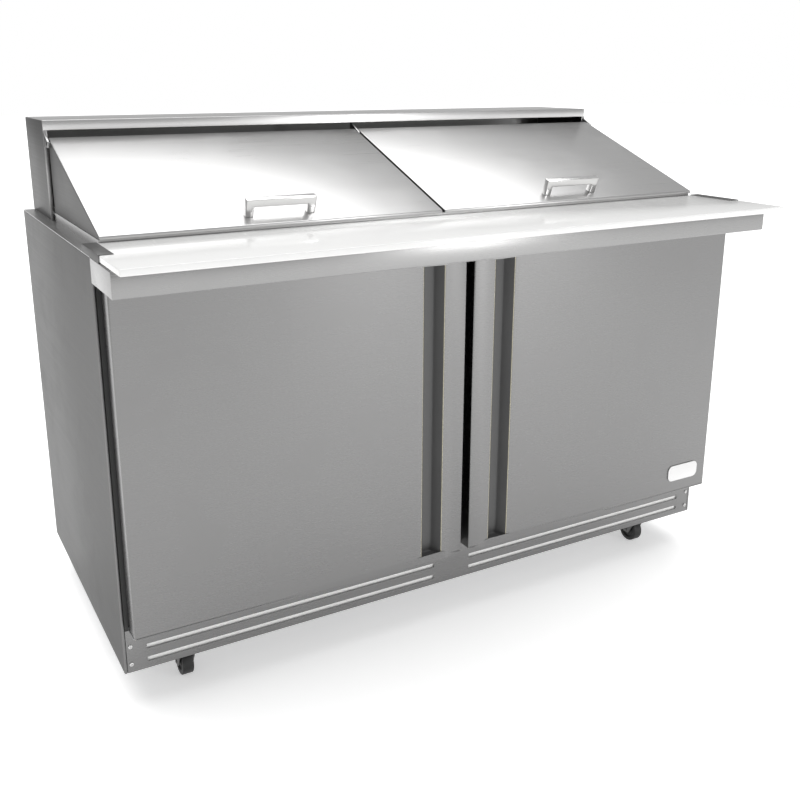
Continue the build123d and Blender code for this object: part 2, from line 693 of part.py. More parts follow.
z_machine_floor = z_base + 1.5
compressor_x = -330
compressor_y = y_machine + 118
with BuildPart() as compressor:
    block(compressor_x - 110, compressor_x + 110, compressor_y - 70, compressor_y + 70,
          z_machine_floor, z_machine_floor + 4)
    upright(compressor_x, compressor_y, z_machine_floor + 4, z_machine_floor + 24, 58)
    upright(compressor_x, compressor_y, z_machine_floor + 24, z_machine_floor + 174, 72)
    fillet(compressor.edges().filter_by(GeomType.CIRCLE).sort_by(Axis.Z)[-1:], radius=30)
    block(compressor_x + 66, compressor_x + 96, compressor_y - 32, compressor_y + 32,
          z_machine_floor + 60, z_machine_floor + 130)
save(compressor, "compressor")

coil_x0 = 250
coil_x1 = 310
coil_y0 = y_machine + 20
coil_y1 = y_machine + 200
with BuildPart() as condenser_coil:
    for fin in range(25):
        fin_y = coil_y0 + 2 + fin * 7.2
        block(coil_x0, coil_x1, fin_y, fin_y + 0.8, z_machine_floor + 6, z_machine_floor + 216)
    for tube in range(5):
        for tube_x in (coil_x0 + 15, coil_x1 - 15):
            lengthwise(tube_x, coil_y0 - 6, coil_y1 + 8, z_machine_floor + 30 + tube * 40, 4.5)
    block(coil_x0, coil_x1, coil_y0 - 2, coil_y0 - 0.5, z_machine_floor, z_machine_floor + 216)
    block(coil_x0, coil_x1, coil_y1 + 1, coil_y1 + 2.5, z_machine_floor, z_machine_floor + 216)
save(condenser_coil, "condenser_coil")

shroud_z = z_machine_floor + 111
shroud_y = (coil_y0 + coil_y1) / 2
shroud_x = coil_x0 - 60
with BuildPart() as fan_shroud:
    block(shroud_x, coil_x0 - 2, coil_y0 - 4, coil_y1 + 4, z_machine_floor, z_machine_floor + 220)
    block(shroud_x + skin, coil_x0, coil_y0 - 2.5, coil_y1 + 2.5,
          z_machine_floor + skin, z_machine_floor + 218.5, mode=Mode.SUBTRACT)
    crosswise(shroud_x - 1, shroud_x + 3, shroud_y, shroud_z, 84, mode=Mode.SUBTRACT)
    # motor bridge across the mouth
    block(shroud_x - 30, shroud_x - 27, shroud_y - 92, shroud_y + 92, shroud_z - 12, shroud_z + 12)
    for end in (-92, 89):
        block(shroud_x - 30, shroud_x, shroud_y + end, shroud_y + end + 3, shroud_z - 12, shroud_z + 12)
    crosswise(shroud_x - 66, shroud_x - 30, shroud_y, shroud_z, 30)
    crosswise(shroud_x - 50, shroud_x - 20, shroud_y, shroud_z, 3 + running_gap, mode=Mode.SUBTRACT)
save(fan_shroud, "fan_shroud")

with BuildPart() as condenser_fan:
    with Locations((shroud_x - 8, shroud_y, shroud_z)):
        add(fan_wheel(79, 40, 22, 14, 34), rotation=(0, -90, 0))
save(condenser_fan, "condenser_fan")

with BuildPart() as drain_pan:
    block(-120, 120, y_machine + 60, y_machine + 200, z_machine_floor, z_machine_floor + 34)
    block(skin - 120, 120 - skin, y_machine + 60 + skin, y_machine + 200 - skin,
          z_machine_floor + skin, z_machine_floor + 40, mode=Mode.SUBTRACT)
save(drain_pan, "drain_pan")


def pipe(points, bend):
    """A round pipe through points, with rounded corners, in the current part."""
    with BuildLine() as path:
        FilletPolyline(*points, radius=bend)
    with BuildSketch(Plane(origin=path.line @ 0, z_dir=path.line % 0)) as section:
        Circle(pipe_radius)
    sweep(section.sketch, path=path.line)


coil_tube_x = coil_x1 - 15
coil_tube_end = coil_y1 + 8
high_tube = z_machine_floor + 190
low_tube = z_machine_floor + 30
compressor_top = z_machine_floor + 174
over_z = z_machine_floor + 250
with BuildPart() as refrigerant_lines:
    # discharge, from the compressor to the condenser's top tube
    pipe(((compressor_x + 20, compressor_y + 20, compressor_top),
          (compressor_x + 20, compressor_y + 20, over_z),
          (compressor_x + 20, coil_tube_end + 16, over_z), (coil_tube_x, coil_tube_end + 16, over_z),
          (coil_tube_x, coil_tube_end + 16, high_tube), (coil_tube_x, coil_tube_end, high_tube)), 8)
    # liquid, from the condenser's bottom tube to the evaporator
    pipe(((coil_tube_x, coil_tube_end, low_tube), (coil_tube_x, coil_tube_end + 16, low_tube),
          (coil_x1 + 30, coil_tube_end + 16, low_tube), (coil_x1 + 30, coil_tube_end + 16, over_z + 40),
          (coil_x1 + 30, pipe_y, over_z + 40), (pipe_x, pipe_y, over_z + 40), (pipe_x, pipe_y, evap_low + 45),
          (evap_half - 14, pipe_y, evap_low + 45)), 8)
    # suction, from the evaporator back to the compressor
    pipe(((compressor_x - 20, compressor_y - 20, compressor_top),
          (compressor_x - 20, compressor_y - 20, over_z + 20), (compressor_x - 20, pipe_y, over_z + 20),
          (-pipe_x, pipe_y, over_z + 20), (-pipe_x, pipe_y, evap_high - 40),
          (14 - evap_half, pipe_y, evap_high - 40)), 8)
save(refrigerant_lines, "refrigerant_lines")

louvre_length = 185
louvre_pitch = 215
with BuildPart() as rear_louvre:
    block(-inner_skin, inner_skin, y_rear - skin, y_rear, z_base + 1.5, z_machine)
    for side in (-1, 1):
        for row in range(9):
            for bank in range(3):
                start = 70 + bank * louvre_pitch
                end = start + louvre_length
                low = z_base + 60 + row * 24
                block(side * start, side * end, y_rear - 3, y_rear + 1, low, low + 8, mode=Mode.SUBTRACT)
    block(-34, 34, y_rear - 3, y_rear + 1, z_base + 40, z_base + 90, mode=Mode.SUBTRACT)
save(rear_louvre, "rear_louvre")

with BuildPart() as power_inlet:
    block(-34, 34, y_rear - 40, y_rear, z_base + 40, z_base + 90)
    block(-14, 14, y_rear - 20, y_rear + 1, z_base + 55, z_base + 75, mode=Mode.SUBTRACT)
    for blade_x in (-7, 0, 7):
        block(blade_x - 1, blade_x + 1, y_rear - 21, y_rear - 4, z_base + 62, z_base + 68)
save(power_inlet, "power_inlet")

# ------------------------------------------------------------------------ casters
kingpin_radius = 5
fork_top = 69.5
fork_low = 64.5
with BuildPart() as caster_plates:
    for x, y in corners.values():
        block(x - 36, x + 36, y - 30, y + 30, z_base - plate_sheet, z_base)
        upright(x, y, fork_top + 0.5, z_base - plate_sheet, 18)
        upright(x, y, fork_low - 0.5, fork_top + 0.5, kingpin_radius)
        upright(x, y, fork_low - 3, fork_low - 0.5, 9)
    for x, y in bolt_spots:
        upright(x, y, z_base - plate_sheet - 1, z_base + 1, screw_hole, mode=Mode.SUBTRACT)
save(caster_plates, "caster_plates")

cheek = 3
cheek_inner = wheel_width / 2 + 2
for name, (x, y) in corners.items():
    with BuildPart() as caster_fork:
        wheel_y = y + caster_trail
        block(x - cheek_inner - cheek, x + cheek_inner + cheek, y - 16, y + 34, fork_low, fork_top)
        for side in (-1, 1):
            with BuildSketch(Plane.YZ.offset(x + side * cheek_inner)):
                Polygon((y - 16, fork_top), (y + 34, fork_top), (y + 34, 62), (wheel_y + 9, 24),
                        (wheel_y - 9, 24), align=None)
            extrude(amount=side * cheek)
        axle_end = cheek_inner + cheek + 2
        crosswise(x - axle_end, x + axle_end, wheel_y, wheel_radius, axle_radius)
        upright(x, y, fork_low - 1, fork_top + 1, kingpin_radius + running_gap, mode=Mode.SUBTRACT)
    save(caster_fork, f"caster_{name}_fork")

    with BuildPart() as caster_wheel:
        crosswise(x - wheel_width / 2, x + wheel_width / 2, wheel_y, wheel_radius, wheel_radius)
        fillet(caster_wheel.edges().filter_by(GeomType.CIRCLE), radius=4)
        crosswise(x - 20, x + 20, wheel_y, wheel_radius, axle_radius + running_gap, mode=Mode.SUBTRACT)
    save(caster_wheel, f"caster_{name}_wheel")
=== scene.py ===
import math

import bpy
from mathutils import Matrix, Vector
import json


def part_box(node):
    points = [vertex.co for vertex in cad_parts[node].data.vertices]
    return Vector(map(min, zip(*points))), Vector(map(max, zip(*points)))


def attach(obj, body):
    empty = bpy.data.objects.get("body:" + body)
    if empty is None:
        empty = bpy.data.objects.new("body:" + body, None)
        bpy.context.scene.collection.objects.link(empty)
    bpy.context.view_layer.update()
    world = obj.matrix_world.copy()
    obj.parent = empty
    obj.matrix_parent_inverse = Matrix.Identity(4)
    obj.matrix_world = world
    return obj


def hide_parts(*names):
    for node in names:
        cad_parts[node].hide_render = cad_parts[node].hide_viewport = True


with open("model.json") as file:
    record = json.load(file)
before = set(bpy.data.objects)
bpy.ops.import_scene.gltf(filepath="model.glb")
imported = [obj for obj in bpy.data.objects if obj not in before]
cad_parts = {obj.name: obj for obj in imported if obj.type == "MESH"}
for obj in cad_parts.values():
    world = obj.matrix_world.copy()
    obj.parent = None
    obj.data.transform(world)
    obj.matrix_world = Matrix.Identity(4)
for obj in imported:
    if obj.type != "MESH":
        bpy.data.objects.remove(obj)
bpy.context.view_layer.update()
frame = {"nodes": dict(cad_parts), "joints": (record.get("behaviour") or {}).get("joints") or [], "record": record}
nodes = frame["nodes"]
print("frame loaded")


# small helpers for modelling

meshSettings = {"smooth": 30, "soften": 40, "merge": 0.00001, "flat": 1, "touch": 1e-5, "near": 1e-4,
                "square": 0.9, "along": 0.001}


def clearSelection():
    if bpy.context.object and bpy.context.object.mode != "OBJECT":
        bpy.ops.object.mode_set(mode="OBJECT")
    bpy.ops.object.select_all(action="DESELECT")


def settle(piece):
    # put the piece's place, turn and size into its mesh
    clearSelection()
    piece.select_set(True)
    bpy.context.view_layer.objects.active = piece
    bpy.ops.object.transform_apply(location=True, rotation=True, scale=True)


def startBlock(name, low, high):
    clearSelection()
    low, high = Vector(low), Vector(high)
    bpy.ops.mesh.primitive_cube_add(size=1, location=(low + high) / 2)
    piece = bpy.context.object
    piece.name = name
    piece.data.name = name
    piece.scale = high - low
    settle(piece)
    return piece


def startDrum(name, centre, radius, length, axis="Z", sides=48):
    clearSelection()
    turn = {"X": (0, math.pi / 2, 0), "Y": (math.pi / 2, 0, 0), "Z": (0, 0, 0)}[axis]
    bpy.ops.mesh.primitive_cylinder_add(vertices=sides, radius=radius, depth=length, location=centre,
                                        rotation=turn)
    piece = bpy.context.object
    piece.name = name
    piece.data.name = name
    settle(piece)
    return piece


def everyFace(centre, normal):
    return True


def looking(axis, sign):
    # a test for the faces that look along an axis, either way if sign is 0
    def test(centre, normal):
        level = normal["XYZ".index(axis)]
        return (abs(level) if sign == 0 else level * sign) > meshSettings["square"]
    return test


looksFront = looking("Y", -1)


def running(axis):
    # a test for the edges that run along an axis
    place = "XYZ".index(axis)
    return lambda first, second: abs(first[place] - second[place]) > meshSettings["along"]


def framed(spot, start, end, margin=0.0):
    # whether a spot lies in an upright rectangle, seen from the front
    return all(start[axis] - margin < spot[axis] < end[axis] + margin for axis in (0, 2))


def openFaces(piece, wanted):
    # edit mode with the faces for which wanted(centre, normal) holds
    clearSelection()
    piece.select_set(True)
    bpy.context.view_layer.objects.active = piece
    bpy.ops.object.mode_set(mode="EDIT")
    bpy.ops.mesh.select_mode(type="FACE")
    bpy.ops.mesh.select_all(action="DESELECT")
    bpy.ops.object.mode_set(mode="OBJECT")
    for face in piece.data.polygons:
        face.select = wanted(face.center, face.normal)
    bpy.ops.object.mode_set(mode="EDIT")


def openEdges(piece, wanted):
    # edit mode with the edges for which wanted(end, end) holds
    clearSelection()
    piece.select_set(True)
    bpy.context.view_layer.objects.active = piece
    bpy.ops.object.mode_set(mode="EDIT")
    bpy.ops.mesh.select_mode(type="EDGE")
    bpy.ops.mesh.select_all(action="DESELECT")
    bpy.ops.object.mode_set(mode="OBJECT")
    spots = [vertex.co for vertex in piece.data.vertices]
    for edge in piece.data.edges:
        edge.select = wanted(spots[edge.vertices[0]], spots[edge.vertices[1]])
    bpy.ops.object.mode_set(mode="EDIT")


def closeEdit():
    bpy.ops.object.mode_set(mode="OBJECT")


def roundOpenEdges(width, segments):
    # bevel the chosen edges and leave edit mode
    bpy.ops.mesh.bevel(offset=width, segments=segments, affect="EDGES")
    closeEdit()


def removeFaces(piece, *tests):
    openFaces(piece, lambda centre, normal: any(test(centre, normal) for test in tests))
    bpy.ops.mesh.delete(type="FACE")
    closeEdit()


def splitFaces(piece, wanted, cuts):
    for point, normal in cuts:
        openFaces(piece, wanted)
        bpy.ops.mesh.bisect(plane_co=point, plane_no=normal)
        closeEdit()


def trimTo(piece, point, normal):
    # keep what lies behind the plane, and close the cut
    openFaces(piece, everyFace)
    bpy.ops.mesh.bisect(plane_co=point, plane_no=normal, use_fill=True, clear_outer=True)
    closeEdit()


def applyModifier(piece, kind, **settings):
    clearSelection()
    piece.select_set(True)
    bpy.context.view_layer.objects.active = piece
    modifier = piece.modifiers.new(kind.title(), kind)
    for label, value in settings.items():
        setattr(modifier, label, value)
    bpy.ops.object.modifier_apply(modifier=modifier.name)


def roundEdges(piece, width, segments=2, angle=35):
    applyModifier(piece, "BEVEL", width=width, segments=segments, limit_method="ANGLE",
                  angle_limit=math.radians(angle), use_clamp_overlap=True)


def thicken(piece, thickness):
    applyModifier(piece, "SOLIDIFY", thickness=thickness, offset=-1, use_even_offset=True)


def carve(piece, cutter):
    applyModifier(piece, "BOOLEAN", operation="DIFFERENCE", solver="EXACT", object=cutter)
    bpy.data.objects.remove(cutter, do_unlink=True)


def joinPieces(first, *others):
    clearSelection()
    for piece in (first, *others):
        piece.select_set(True)
    bpy.context.view_layer.objects.active = first
    bpy.ops.object.join()
    return first


def copyPiece(piece, name, offset):
    twin = piece.copy()
    twin.data = piece.data.copy()
    twin.name = name
    bpy.context.collection.objects.link(twin)
    for vertex in twin.data.vertices:
        vertex.co += Vector(offset)
    return twin


def placeCopy(piece, name, matrix):
    twin = copyPiece(piece, name, (0, 0, 0))
    twin.data.transform(matrix)
    return twin


def softened(node, name, width):
    # a merged copy of the CAD shape, with its sharp edges broken
    twin = bpy.data.objects.new(name, nodes[node].data.copy())
    bpy.context.collection.objects.link(twin)
    openFaces(twin, everyFace)
    bpy.ops.mesh.remove_doubles(threshold=meshSettings["merge"])
    bpy.ops.mesh.dissolve_limited(angle_limit=math.radians(meshSettings["flat"]))
    closeEdit()
    roundEdges(twin, width, angle=meshSettings["soften"])
    return twin


def coverFaces(piece, finish, wanted):
    # a second finish on the faces for which wanted(centre, normal) holds
    piece.data.materials.append(finish)
    for face in piece.data.polygons:
        if wanted(face.center, face.normal):
            face.material_index = len(piece.data.materials) - 1


def finishPiece(piece, body, slot, finish, *replaced):
    clearSelection()
    piece.select_set(True)
    bpy.context.view_layer.objects.active = piece
    bpy.ops.object.shade_smooth_by_angle(angle=math.radians(meshSettings["smooth"]))
    piece.data.materials.clear()
    piece.data.materials.append(finish)
    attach(piece, body)
    if replaced:
        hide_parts(*replaced)
    return piece


# camera, light and floor

cameraSettings = {"place": (-1.1071, -1.9409, 1.2235), "tilt": 74.4, "turn": -29.1, "lens": 43.02,
                  "sensor": 36, "shift": (0.0125, -0.0725)}
bpy.ops.object.camera_add(location=cameraSettings["place"],
                          rotation=(math.radians(cameraSettings["tilt"]), 0,
                                    math.radians(cameraSettings["turn"])))
camera = bpy.context.object
camera.data.lens = cameraSettings["lens"]
camera.data.sensor_width = cameraSettings["sensor"]
camera.data.shift_x, camera.data.shift_y = cameraSettings["shift"]
bpy.context.scene.camera = camera
bpy.context.scene.view_settings.view_transform = "Standard"

sunSettings = {"towards": (0.03, 0.22, 0.97), "softness": 74, "strength": 2.7}
bpy.ops.object.light_add(type="SUN",
                         rotation=Vector(sunSettings["towards"]).to_track_quat("Z", "Y").to_euler())
sun = bpy.context.object
sun.name = "softSky"
sun.data.angle = math.radians(sunSettings["softness"])
sun.data.energy = sunSettings["strength"]

boxSettings = {"place": (1.9, -3.6, 1.1), "aim": (-0.1, -0.3, 0.6), "size": (0.6, 1.5), "power": 26}
direction = Vector(boxSettings["aim"]) - Vector(boxSettings["place"])
bpy.ops.object.light_add(type="AREA", location=boxSettings["place"],
                         rotation=direction.to_track_quat("-Z", "Y").to_euler())
softBox = bpy.context.object
softBox.name = "softBox"
softBox.data.shape = "RECTANGLE"
softBox.data.size, softBox.data.size_y = boxSettings["size"]
softBox.data.energy = boxSettings["power"]
softBox.visible_camera = False

# the room is white to look at, and a softer grey as a source of light
roomSettings = {"seen": 1.0, "light": 0.5}
world = bpy.data.worlds.new("softRoom")
world.use_nodes = True
backdrop = world.node_tree.nodes["Background"]
backdrop.inputs["Color"].default_value = (1, 1, 1, 1)
lightPath = world.node_tree.nodes.new("ShaderNodeLightPath")
roomLevel = world.node_tree.nodes.new("ShaderNodeMapRange")
roomLevel.inputs["To Min"].default_value = roomSettings["light"]
roomLevel.inputs["To Max"].default_value = roomSettings["seen"]
world.node_tree.links.new(lightPath.outputs["Is Camera Ray"], roomLevel.inputs["Value"])
world.node_tree.links.new(roomLevel.outputs["Result"], backdrop.inputs["Strength"])
bpy.context.scene.world = world

floorSettings = {"size": 60, "rough": 0.9, "glow": 0.42, "tones": (0.86, 0.88), "clouds": 0.5}
clearSelection()
bpy.ops.mesh.primitive_plane_add(size=floorSettings["size"], location=(0, 0, 0))
floor = bpy.context.object
floor.name = "studioFloor"
print("camera, lights and floor placed")


# shader maths and nodes

class Wire:
    # one output of a node, with arithmetic
    def __init__(self, tree, socket):
        self.tree = tree
        self.socket = socket

    def combine(self, operation, first, second):
        node = self.tree.nodes.new("ShaderNodeMath")
        node.operation = operation
        for place, value in zip(node.inputs, (first, second)):
            if isinstance(value, Wire):
                self.tree.links.new(value.socket, place)
            else:
                place.default_value = value
        return Wire(self.tree, node.outputs[0])

    def __add__(self, other):
        return self.combine("ADD", self, other)

    def __radd__(self, other):
        return self.combine("ADD", other, self)

    def __sub__(self, other):
        return self.combine("SUBTRACT", self, other)

    def __rsub__(self, other):
        return self.combine("SUBTRACT", other, self)

    def __mul__(self, other):
        return self.combine("MULTIPLY", self, other)


class Finish:
    # a material being built round one Principled shader
    def __init__(self, name, **fixed):
        self.material = bpy.data.materials.new(name)
        self.material.use_nodes = True
        self.tree = self.material.node_tree
        self.shader = self.tree.nodes["Principled BSDF"]
        for label, value in fixed.items():
            self.shader.inputs[label.replace("_", " ")].default_value = value
        self.place = self.node("ShaderNodeTexCoord", {}, {}, "Object")

    def node(self, kind, settings, sockets, output=0):
        made = self.tree.nodes.new(kind)
        for label, value in settings.items():
            if label == "stops":
                for stop, (position, tone) in zip(made.color_ramp.elements, value):
                    stop.position = position
                    stop.color = (tone, tone, tone, 1)
            else:
                setattr(made, label, value)
        for label, value in sockets.items():
            if isinstance(value, Wire):
                self.tree.links.new(value.socket, made.inputs[label])
            else:
                made.inputs[label].default_value = value
        return Wire(self.tree, made.outputs[output])

    def stretched(self, scale, turn=(0, 0, 0)):
        return self.node("ShaderNodeMapping", {}, {"Vector": self.place, "Scale": scale, "Rotation": turn})

    def noise(self, where, size, detail=2.0, rough=0.5):
        return self.node("ShaderNodeTexNoise", {},
                         {"Vector": where, "Scale": size, "Detail": detail, "Roughness": rough})

    def ramp(self, factor, low, high):
        return self.node("ShaderNodeValToRGB", {"stops": ((low, 0.0), (high, 1.0))}, {"Fac": factor})

    def blendColours(self, factor, first, second):
        # the colour sockets of a mix node are its inputs 6 and 7 and its output 2
        return self.node("ShaderNodeMix", {"data_type": "RGBA"},
                         {0: factor, 6: (*first, 1), 7: (*second, 1)}, 2)

    def colour(self, wire):
        self.tree.links.new(wire.socket, self.shader.inputs["Base Color"])

    def roughness(self, wire):
        self.tree.links.new(wire.socket, self.shader.inputs["Roughness"])

    def bump(self, wire, strength, distance):
        raised = self.node("ShaderNodeBump", {},
                           {"Height": wire, "Strength": strength, "Distance": distance}, "Normal")
        self.tree.links.new(raised.socket, self.shader.inputs["Normal"])


def grey(tone, warm):
    return (tone * (1 + warm), tone, tone * (1 - warm))


# each noise has a size, a detail and a roughness; tone and rough hold the share of each in turn
brushedLook = {"along": 1.6, "across": 520.0, "streaks": (1.0, 3.0, 0.6), "clouds": (2.3, 3.0, 0.55),
               "specks": (260.0, 1.0, 0.5), "smudges": (7.0, 4.0, 0.6), "smudgeEdge": (0.52, 0.74),
               "tone": (0.55, 0.3, 0.15), "rough": (0.14, 0.08, 0.05), "speckBump": 0.4, "depth": 0.0004,
               "warm": 0.004}
mouldedLook = {"detail": (2.0, 0.55), "drift": (9.0, 3.0, 0.5), "tone": (0.4, 0.6), "rough": (0.12, 0.06),
               "depth": 0.0003}
boardLook = {"turns": (0.5, -0.35, 1.35), "stretch": (900, 9, 900), "marks": (1.0, 1.0, 0.5),
             "markEdge": (0.66, 0.74), "drift": (5.0, 3.0, 0.5), "tone": (0.7, 0.3),
             "light": (0.80, 0.80, 0.795), "dark": (0.71, 0.71, 0.70), "base": 0.13, "rough": (0.12, 0.06),
             "bump": 0.06, "depth": 0.0002}
meshLook = {"stretch": (300, 300, 900), "fibres": (1.0, 4.0, 0.7), "dark": (0.80, 0.80, 0.79),
            "light": (0.93, 0.93, 0.92), "base": 0.85, "rough": 0.1, "bump": 0.4, "depth": 0.0006}
middle = 0.5


def brushedFinish(name, tone, rough, grain="X", spread=0.06, strength=0.05, edge=1.0):
    # sheet steel: long fine grain, faint cloudy tone and smudges
    look = brushedLook
    finish = Finish(name, Metallic=1.0, Specular_Tint=(edge, edge, edge, 1))
    scale = tuple(look["along"] if axis == grain else look["across"] for axis in "XYZ")
    streaks = finish.noise(finish.stretched(scale), *look["streaks"])
    clouds = finish.noise(finish.place, *look["clouds"])
    specks = finish.noise(finish.place, *look["specks"])
    smudges = finish.ramp(finish.noise(finish.place, *look["smudges"]), *look["smudgeEdge"])
    shade = streaks * look["tone"][0] + clouds * look["tone"][1] + specks * look["tone"][2]
    finish.colour(finish.blendColours(shade, grey(tone * (1 - spread), look["warm"]),
                                      grey(tone * (1 + spread), look["warm"])))
    finish.roughness(rough + (streaks - middle) * look["rough"][0] + (clouds - middle) * look["rough"][1]
                     + smudges * look["rough"][2])
    finish.bump(streaks + specks * look["speckBump"], strength, look["depth"])
    return finish.material


def mouldedFinish(name, tone, rough, size=420.0, strength=0.12, metallic=0.0, tint=(1, 1, 1), spread=0.12):
    # plastic, rubber, enamel, foam or cast and coated metal: fine pebble with slow drift in tone
    look = mouldedLook
    finish = Finish(name, Metallic=metallic)
    pebble = finish.noise(finish.place, size, *look["detail"])
    drift = finish.noise(finish.place, *look["drift"])
    low = tuple(tone * part * (1 - spread) for part in tint)
    high = tuple(tone * part * (1 + spread) for part in tint)
    finish.colour(finish.blendColours(pebble * look["tone"][0] + drift * look["tone"][1], low, high))
    finish.roughness(rough + (drift - middle) * look["rough"][0] + (pebble - middle) * look["rough"][1])
    finish.bump(pebble, strength, look["depth"])
    return finish.material


def boardFinish(name):
    # polyethylene board: faint knife marks in three directions, slightly glossy between them
    look = boardLook
    finish = Finish(name)
    marks = None
    for turn in look["turns"]:
        fine = finish.noise(finish.stretched(look["stretch"], (0, 0, turn)), *look["marks"])
        line = finish.ramp(fine, *look["markEdge"])
        marks = line if marks is None else marks + line
    drift = finish.noise(finish.place, *look["drift"])
    shade = drift * look["tone"][0] + marks * look["tone"][1]
    finish.colour(finish.blendColours(shade, look["light"], look["dark"]))
    finish.roughness(look["base"] + marks * look["rough"][0] + (drift - middle) * look["rough"][1])
    finish.bump(1 - marks, look["bump"], look["depth"])
    return finish.material


def meshFinish(name):
    # fibre filter mat
    look = meshLook
    finish = Finish(name)
    fibres = finish.noise(finish.stretched(look["stretch"]), *look["fibres"])
    finish.colour(finish.blendColours(fibres, look["dark"], look["light"]))
    finish.roughness(look["base"] + (fibres - middle) * look["rough"])
    finish.bump(fibres, look["bump"], look["depth"])
    return finish.material


finishes = {
    "stainless": brushedFinish("brushedStainless", 0.46, 0.32),
    # door steel: a darker copy of the stainless, its low tone is painted shade of the front faces
    "doorSteelPaintedShade": brushedFinish("doorStainlessPaintedShade", 0.20, 0.28, spread=0.04, strength=0.03),
    # shelf steel: a darker copy of the stainless, its low tone is painted shade of the front-facing apron
    "shelfSteelPaintedShade": brushedFinish("shelfStainlessPaintedShade", 0.27, 0.28, spread=0.04, strength=0.03),
    # lid steel: a lighter copy of the stainless, its high tone is painted highlight of the up-facing lids
    "lidSteelPaintedHighlight": brushedFinish("lidStainlessPaintedHighlight", 0.54, 0.30, spread=0.04, strength=0.03),
    "handleSteel": brushedFinish("handleStainless", 0.74, 0.2, spread=0.04, strength=0.03),
    # side steel: a darker copy of the stainless with dimmed edge tint, its low tone is painted shade of faces
    # looking sideways
    "sideSteelPaintedShade": brushedFinish("sideStainlessPaintedShade", 0.20, 0.36, grain="Y", edge=0.48),
    "pan_stainless": brushedFinish("panStainless", 0.62, 0.26, spread=0.05, strength=0.03),
    "badge_grey": brushedFinish("badgePlate", 0.62, 0.3, spread=0.04, strength=0.02),
    "screw_steel": brushedFinish("screwSteel", 0.6, 0.25, spread=0.05, strength=0.02),
    "caster_steel": brushedFinish("casterSteel", 0.16, 0.35),
    "galvanised": mouldedFinish("galvanisedSheet", 0.27, 0.4, size=70.0, strength=0.05, metallic=1.0,
                                tint=(1, 1.01, 1.03), spread=0.28),
    "liner_aluminium": mouldedFinish("linerSheet", 0.50, 0.36, size=130.0, strength=0.25, metallic=1.0,
                                     tint=(1, 1, 1.01), spread=0.06),
    "fin_aluminium": mouldedFinish("finAluminium", 0.7, 0.3, size=300.0, strength=0.05, metallic=1.0),
    "copper": mouldedFinish("copperTube", 0.62, 0.3, size=200.0, strength=0.04, metallic=1.0,
                            tint=(1, 0.55, 0.36), spread=0.1),
    "foam": mouldedFinish("insulationFoam", 0.62, 0.85, size=150.0, strength=0.5, tint=(1, 0.93, 0.68),
                          spread=0.08),
    "shelf_wire": mouldedFinish("coatedWire", 0.7, 0.35, size=300.0, strength=0.05, spread=0.04),
    "breaker_black": mouldedFinish("breakerBlack", 0.012, 0.5),
    "gasket_black": mouldedFinish("gasketBlack", 0.014, 0.6, size=600.0, strength=0.2),
    # the pull channel's dark tone is painted shade of the recess in the stainless door
    "handle_black": mouldedFinish("channelPaintedShade", 0.10, 0.42),
    "compressor_black": mouldedFinish("compressorEnamel", 0.02, 0.28, size=240.0, strength=0.1),
    "fan_plastic": mouldedFinish("fanPlastic", 0.03, 0.4),
    "dial_plastic": mouldedFinish("dialPlastic", 0.05, 0.4),
    "inlet_black": mouldedFinish("inletPlastic", 0.015, 0.4),
    "wheel_black": mouldedFinish("wheelRubber", 0.012, 0.5, size=500.0, strength=0.2),
    "board_white": boardFinish("boardPolyethylene"),
    "filter_white": meshFinish("filterMat")}

floorFinish = Finish("studioFloor", Roughness=floorSettings["rough"], Emission_Color=(1, 1, 1, 1),
                     Emission_Strength=floorSettings["glow"])
floorFinish.colour(floorFinish.blendColours(floorFinish.noise(floorFinish.place, floorSettings["clouds"]),
                                            *(grey(tone, 0.0) for tone in floorSettings["tones"])))
floor.data.materials.append(floorFinish.material)

for entry in frame["record"]["subparts"]:
    for place in nodes[entry["node"]].material_slots:
        place.link = "OBJECT"
        place.material = finishes[entry["material_slot"]]
print("finishes made")


# lids

lidShape = {"lip": 0.009, "raise": 0.002, "sheet": 0.001, "round": 0.0022}
handleShape = {"width": 0.150, "height": 0.038, "bar": 0.017, "depth": 0.015, "upSlope": 0.036,
               "round": 0.0022, "through": 0.05, "below": 0.01}
for word in ("left", "right"):
    low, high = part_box(f"lid_{word}_shell")
    lipTop = Vector((0, low[1], low[2] + lidShape["lip"]))
    ridge = Vector((0, high[1], high[2]))
    slope = (ridge - lipTop).normalized()
    outward = Vector((0, -slope.z, slope.y))
    shell = startBlock(f"lid_{word}", (low[0], low[1], low[2] + lidShape["raise"]), high)
    trimTo(shell, lipTop, outward)
    roundEdges(shell, lidShape["round"], segments=3, angle=15)
    removeFaces(shell, looking("Z", -1))
    thicken(shell, lidShape["sheet"])
    # the lid top in the lighter lid steel: painted highlight
    finishPiece(shell, f"lid_{word}", "stainless", finishes["lidSteelPaintedHighlight"], f"lid_{word}_shell")
    # the lid ends in the darker side steel: painted shade
    coverFaces(shell, finishes["sideSteelPaintedShade"], looking("X", 0))

    reach, tall, bar = handleShape["width"] / 2, handleShape["height"], handleShape["bar"]
    deep = handleShape["depth"] / 2
    bail = startBlock(f"lid_{word}_grip", (-reach, -deep, 0), (reach, deep, tall))
    gap = startBlock("gripGap", (bar - reach, -handleShape["through"], -handleShape["below"]),
                     (reach - bar, handleShape["through"], tall - bar))
    carve(bail, gap)
    roundEdges(bail, handleShape["round"], segments=3, angle=40)
    foot = lipTop + slope * handleShape["upSlope"]
    bail.rotation_euler = (math.atan2(slope.z, slope.y), 0, 0)
    bail.location = ((low[0] + high[0]) / 2, foot.y, foot.z)
    settle(bail)
    finishPiece(bail, f"lid_{word}", "stainless", finishes["handleSteel"], f"lid_{word}_handle")
print("lids made")


# hood

